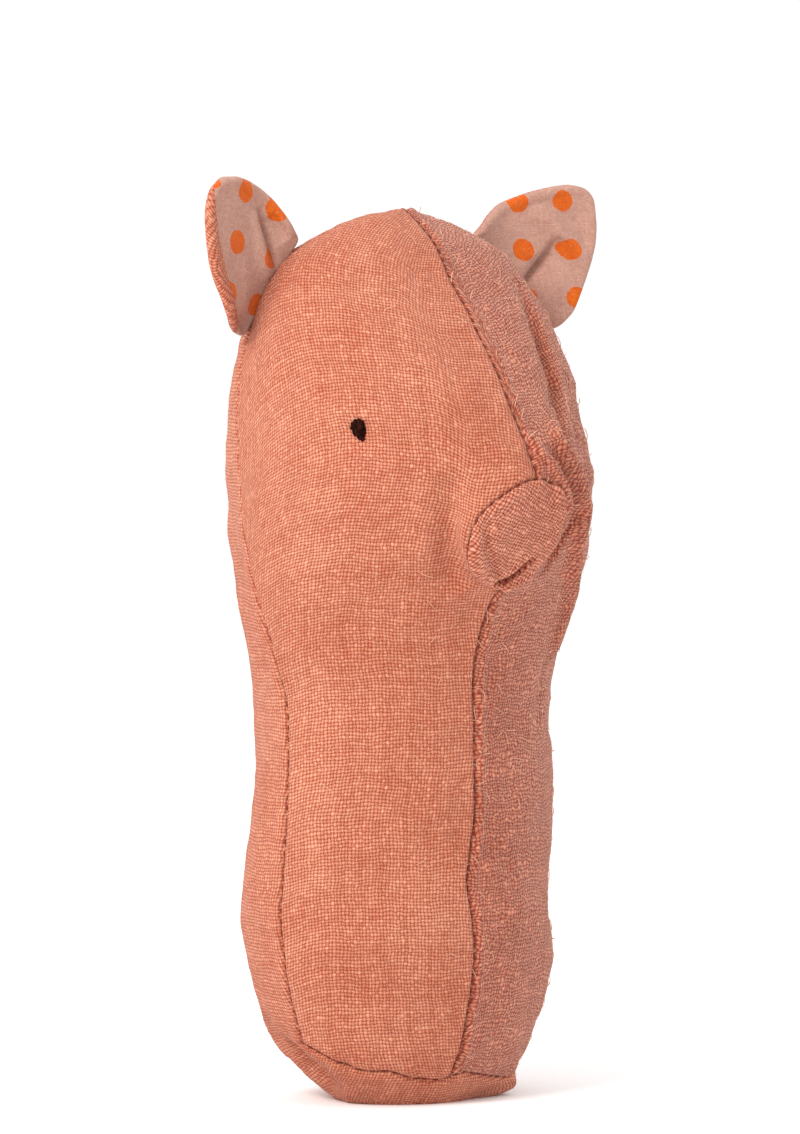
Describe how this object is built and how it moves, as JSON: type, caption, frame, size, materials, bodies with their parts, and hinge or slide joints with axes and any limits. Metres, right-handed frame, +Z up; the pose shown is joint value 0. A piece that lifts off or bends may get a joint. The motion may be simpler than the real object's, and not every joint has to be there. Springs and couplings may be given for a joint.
{
  "type": "stuffed toy rattle",
  "caption": "Soft linen hand rattle in the shape of a pig, with a sewn snout, cotton-lined ears that fold, and a rattle capsule inside.",
  "frame": {"origin": "on the surface that the toy stands on, under the middle of its base", "axes": "+Z up through the head, -Y the way the snout looks, +X the toy's own left"},
  "size_m": [0.0806, 0.0686, 0.1537],
  "materials": {
    "linen": "plain-woven linen, salmon pink, matt with fine fuzz",
    "ear_cotton": "fine dusty-pink cotton printed with orange dots",
    "eye_thread": "twisted dark brown thread with a soft gloss",
    "filling": "off-white fibre filling",
    "capsule": "natural moulded plastic",
    "ball_steel": "plain steel balls"
  },
  "bodies": {
    "toy": {"back_panel": "linen", "face_panel_left": "linen", "face_panel_right": "linen", "snout_disc": "linen", "head_filling": "filling", "handle_filling": "filling", "eye_left": "eye_thread", "eye_right": "eye_thread", "rattle_cup": "capsule", "rattle_cap": "capsule"},
    "ear_left": {"ear_left_back": "linen", "ear_left_lining": "ear_cotton"},
    "ear_right": {"ear_right_back": "linen", "ear_right_lining": "ear_cotton"},
    "ball_1": {"rattle_ball_1": "ball_steel"},
    "ball_2": {"rattle_ball_2": "ball_steel"},
    "ball_3": {"rattle_ball_3": "ball_steel"},
    "ball_4": {"rattle_ball_4": "ball_steel"},
    "ball_5": {"rattle_ball_5": "ball_steel"}
  },
  "joints": [
    {"name": "ear_left_fold", "type": "hinge", "parent": "toy", "child": "ear_left", "pos_m": [0.02297, 0.00607, 0.13678], "axis": [-0.4519, -0.2102, 0.867], "range_deg": [-25, 25], "stiffness_Nm_per_rad": 0.004},
    {"name": "ear_right_fold", "type": "hinge", "parent": "toy", "child": "ear_right", "pos_m": [-0.02297, 0.00607, 0.13678], "axis": [-0.4519, 0.2102, -0.867], "range_deg": [-25, 25], "stiffness_Nm_per_rad": 0.004},
    {"name": "ball_1_hop", "type": "slide", "parent": "toy", "child": "ball_1", "axis": [0, 0, 1], "range_m": [0, 0.01]},
    {"name": "ball_2_hop", "type": "slide", "parent": "toy", "child": "ball_2", "axis": [0, 0, 1], "range_m": [0, 0.01]},
    {"name": "ball_3_hop", "type": "slide", "parent": "toy", "child": "ball_3", "axis": [0, 0, 1], "range_m": [0, 0.01]},
    {"name": "ball_4_hop", "type": "slide", "parent": "toy", "child": "ball_4", "axis": [0, 0, 1], "range_m": [0, 0.01]},
    {"name": "ball_5_hop", "type": "slide", "parent": "toy", "child": "ball_5", "axis": [0, 0, 1], "range_m": [0, 0.01]}
  ]
}
